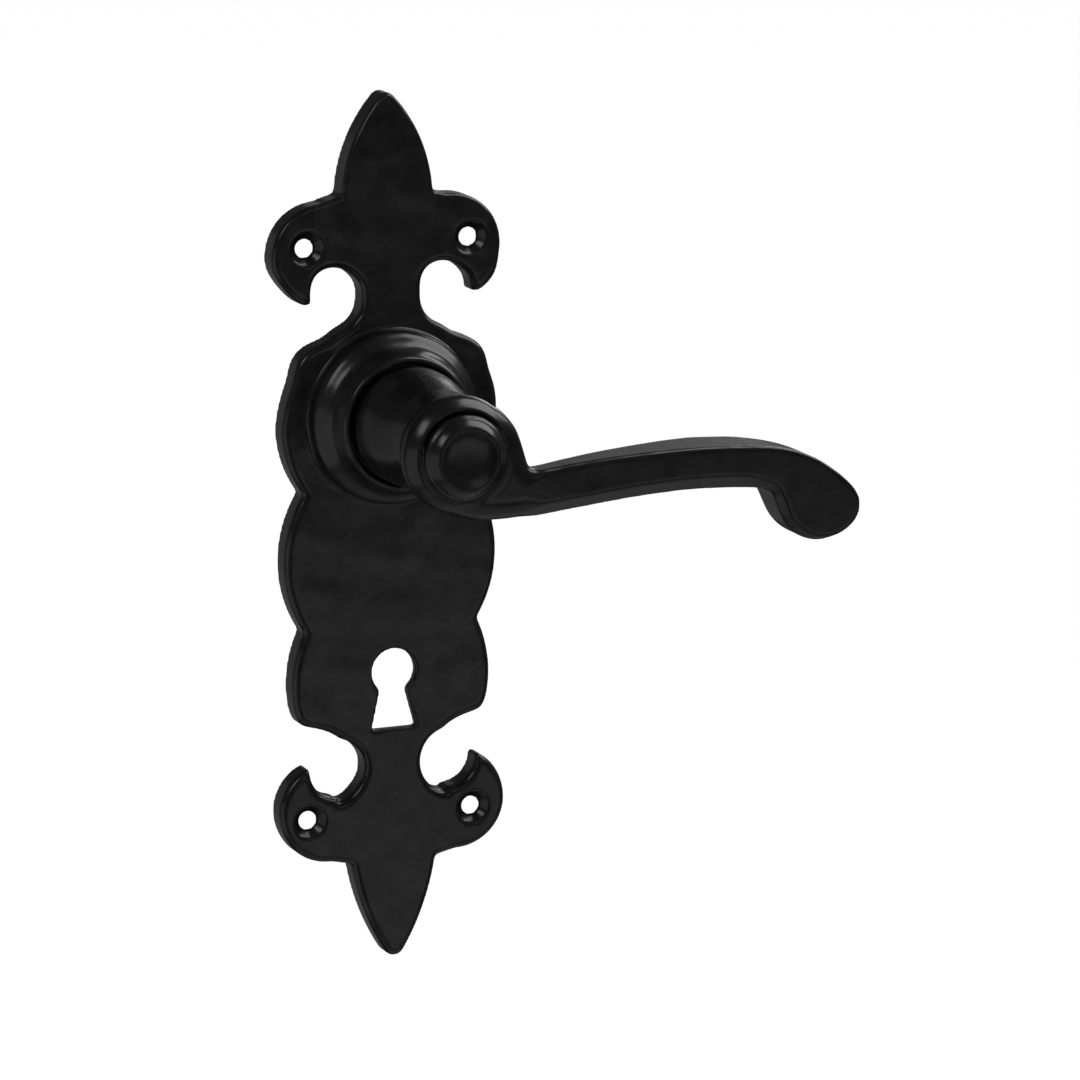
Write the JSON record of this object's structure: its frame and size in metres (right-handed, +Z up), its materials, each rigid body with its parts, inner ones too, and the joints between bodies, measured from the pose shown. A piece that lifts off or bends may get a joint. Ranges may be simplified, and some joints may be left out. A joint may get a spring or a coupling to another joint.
{
  "type": "door lever handle",
  "caption": "Sprung door lever on a long fleur-de-lys backplate with a keyhole, in black cast iron, with its return spring, drive plate and square spindle.",
  "frame": {"origin": "the spindle's axis where it crosses the door face, which is the back of the plate", "axes": "+Z up along the plate, +Y into the door along the spindle, -Y out to the room, +X along the lever's arm at rest"},
  "size_m": [0.1173, 0.0858, 0.1897],
  "materials": {
    "black_iron": "satin black powder coat over a slightly uneven casting",
    "zinc_plate": "bright zinc plated sheet",
    "spring_steel": "oiled spring steel",
    "bar_steel": "bright drawn bar",
    "nylon": "black moulded nylon"
  },
  "bodies": {
    "plate": {"backplate": "black_iron", "neck_bush": "nylon", "thrust_washer": "nylon", "stop_pins": "bar_steel", "spring_anchor_pin": "bar_steel", "return_spring": "spring_steel", "cover_plate": "zinc_plate", "cover_screws": "zinc_plate"},
    "lever": {"lever": "black_iron", "retaining_washer": "zinc_plate", "spring_washer": "spring_steel", "circlip": "spring_steel", "drive_plate": "zinc_plate", "spindle": "bar_steel", "grub_screw": "spring_steel"}
  },
  "joints": [
    {"name": "lever_turn", "type": "hinge", "parent": "plate", "child": "lever", "pos_m": [0, 0, 0], "axis": [0, 1, 0], "range_deg": [0, 45], "stiffness_Nm_per_rad": 0.8, "springref_deg": -34.38, "deforming": ["return_spring"]}
  ]
}
